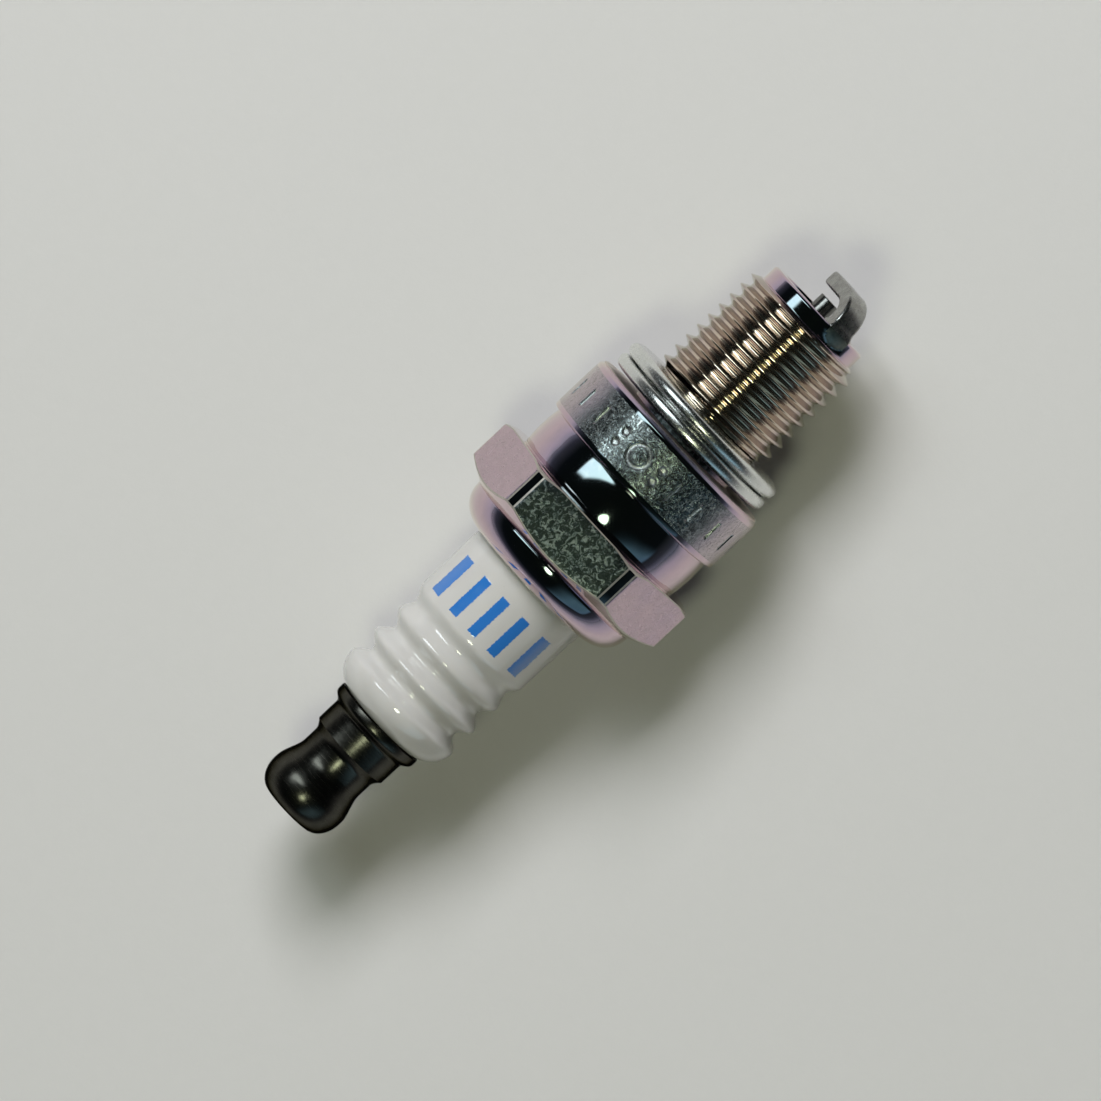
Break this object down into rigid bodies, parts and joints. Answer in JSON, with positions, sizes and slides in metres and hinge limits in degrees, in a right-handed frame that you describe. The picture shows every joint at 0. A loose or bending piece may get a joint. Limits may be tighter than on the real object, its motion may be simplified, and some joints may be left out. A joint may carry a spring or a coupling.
{
  "type": "spark plug",
  "caption": "Compact resistor spark plug: ribbed glazed insulator, hexagonal threaded shell with loose crush gasket, solid terminal and ground electrode bent over the centre electrode.",
  "frame": {"origin": "on the plug's axis, at the gasket's far face, which is the plane that seats on the cylinder head; the shell's own seat face is 2.52 mm behind it", "axes": "+X along the plug's axis towards the sparking end; +Z square to the upper flat of the hexagon, so the plug lies on the opposite flat; +Y along the flat, to the left when looking from the terminal to the sparking end"},
  "size_m": [0.0516, 0.0176, 0.0158],
  "materials": {
    "plated_steel": "bright plated steel with a faint pink and violet tint",
    "gasket_steel": "bright tinned steel",
    "electrode_nickel": "satin nickel alloy",
    "glazed_alumina": "glossy white glaze with printed blue bars",
    "dark_steel": "dark satin plating",
    "seal_glass": "fired copper and glass powder",
    "resistor_glass": "fired carbon and glass powder",
    "copper": "drawn copper",
    "packing_steel": "bare steel wire and strip",
    "talc": "pressed powder"
  },
  "bodies": {
    "plug": {"metal_shell": "plated_steel", "ground_electrode": "electrode_nickel", "insulator": "glazed_alumina", "terminal_post": "dark_steel", "upper_glass_seal": "seal_glass", "resistor": "resistor_glass", "lower_glass_seal": "seal_glass", "center_electrode": "electrode_nickel", "center_electrode_core": "copper", "upper_packing_ring": "packing_steel", "talc_filling": "talc", "lower_packing_ring": "packing_steel", "seat_packing": "packing_steel"},
    "gasket": {"sealing_gasket": "gasket_steel"}
  },
  "joints": [
    {"name": "gasket_slide", "type": "slide", "parent": "plug", "child": "gasket", "axis": [1, 0, 0], "range_m": [-0.00045, 0.0005]}
  ]
}
